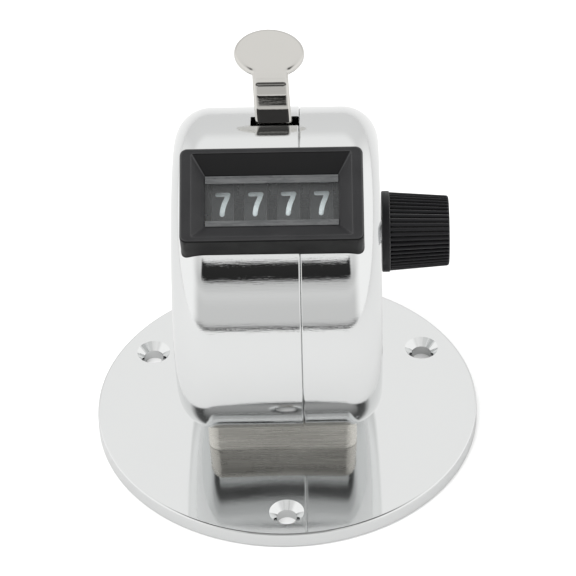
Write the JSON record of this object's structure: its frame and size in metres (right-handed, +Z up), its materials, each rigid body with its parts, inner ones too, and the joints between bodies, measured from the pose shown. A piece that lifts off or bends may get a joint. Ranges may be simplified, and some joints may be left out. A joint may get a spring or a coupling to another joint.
{
  "type": "tally counter",
  "caption": "Bench tally counter: a chrome drum on a round screw-down base, with a thumb lever, a bevelled number window and a ribbed reset knob.",
  "frame": {"origin": "centre of the round base plate's underside", "axes": "+Z up out of the plate, -Y towards the reader in front of the window, +X towards the reset knob"},
  "size_m": [0.054, 0.054, 0.0546],
  "materials": {
    "plate_chrome": "mirror chrome plate",
    "case_chrome": "mirror chrome on pressed sheet",
    "pedestal_nickel": "satin nickel, brushed sideways",
    "lever_nickel": "bright nickel plate",
    "surround_black": "satin moulded",
    "knob_black": "satin moulded, ribbed",
    "wheel_black": "matte moulded",
    "lens_clear": "clear moulded window",
    "frame_steel": "zinc-plated pressings",
    "bar_steel": "turned bright",
    "screw_steel": "plated",
    "spring_steel": "spring steel",
    "brass": "turned"
  },
  "bodies": {
    "stand": {"base_plate": "plate_chrome", "pedestal": "pedestal_nickel", "pedestal_screws": "screw_steel", "case_left": "case_chrome", "case_right": "case_chrome", "window_surround": "surround_black", "window_lens": "lens_clear", "frame_left": "frame_steel", "frame_right": "frame_steel", "frame_foot": "frame_steel", "foot_screws": "screw_steel", "tie_bars": "bar_steel", "shaft_bushes": "brass", "lever_pin": "bar_steel", "lever_pin_clips": "spring_steel", "lever_spring": "spring_steel", "detent_bar": "bar_steel", "detent_comb": "spring_steel", "detent_screws": "screw_steel"},
    "reset_shaft": {"wheel_shaft": "bar_steel", "shaft_spacers": "brass", "shaft_clip": "spring_steel", "reset_knob": "knob_black"},
    "units": {"units_wheel": "wheel_black", "units_clip": "spring_steel"},
    "tens": {"tens_wheel": "wheel_black", "tens_clip": "spring_steel"},
    "hundreds": {"hundreds_wheel": "wheel_black", "hundreds_clip": "spring_steel"},
    "thousands": {"thousands_wheel": "wheel_black", "thousands_clip": "spring_steel"},
    "lever": {"thumb_lever": "lever_nickel", "lever_rocker": "frame_steel", "lever_rivets": "screw_steel", "pawl_pin": "bar_steel", "pawl_spring": "spring_steel"},
    "pawl": {"drive_pawl": "frame_steel"}
  },
  "joints": [
    {"name": "lever_press", "type": "hinge", "parent": "stand", "child": "lever", "pos_m": [-0.0009, 0.003, 0.0456], "axis": [-1, 0, 0], "range_deg": [0, 16], "stiffness_Nm_per_rad": 0.02, "springref_deg": -17.19, "deforming": ["lever_spring"]},
    {"name": "pawl_swing", "type": "hinge", "parent": "lever", "child": "pawl", "pos_m": [-0.0009, 0.00878, 0.03635], "axis": [-1, 0, 0], "range_deg": [-18, 2], "deforming": ["pawl_spring"]},
    {"name": "reset_turn", "type": "hinge", "parent": "stand", "child": "reset_shaft", "pos_m": [0, -0.00444, 0.03692], "axis": [-1, 0, 0], "continuous": true},
    {"name": "units_turn", "type": "hinge", "parent": "reset_shaft", "child": "units", "pos_m": [0, -0.00444, 0.03692], "axis": [-1, 0, 0], "continuous": true},
    {"name": "tens_turn", "type": "hinge", "parent": "reset_shaft", "child": "tens", "pos_m": [0, -0.00444, 0.03692], "axis": [-1, 0, 0], "continuous": true},
    {"name": "hundreds_turn", "type": "hinge", "parent": "reset_shaft", "child": "hundreds", "pos_m": [0, -0.00444, 0.03692], "axis": [-1, 0, 0], "continuous": true},
    {"name": "thousands_turn", "type": "hinge", "parent": "reset_shaft", "child": "thousands", "pos_m": [0, -0.00444, 0.03692], "axis": [-1, 0, 0], "continuous": true}
  ],
  "couplings": [
    {"joint": "pawl_swing", "follows": "lever_press", "ratio": -1},
    {"joint": "units_turn", "follows": "lever_press", "ratio": 2.25}
  ]
}
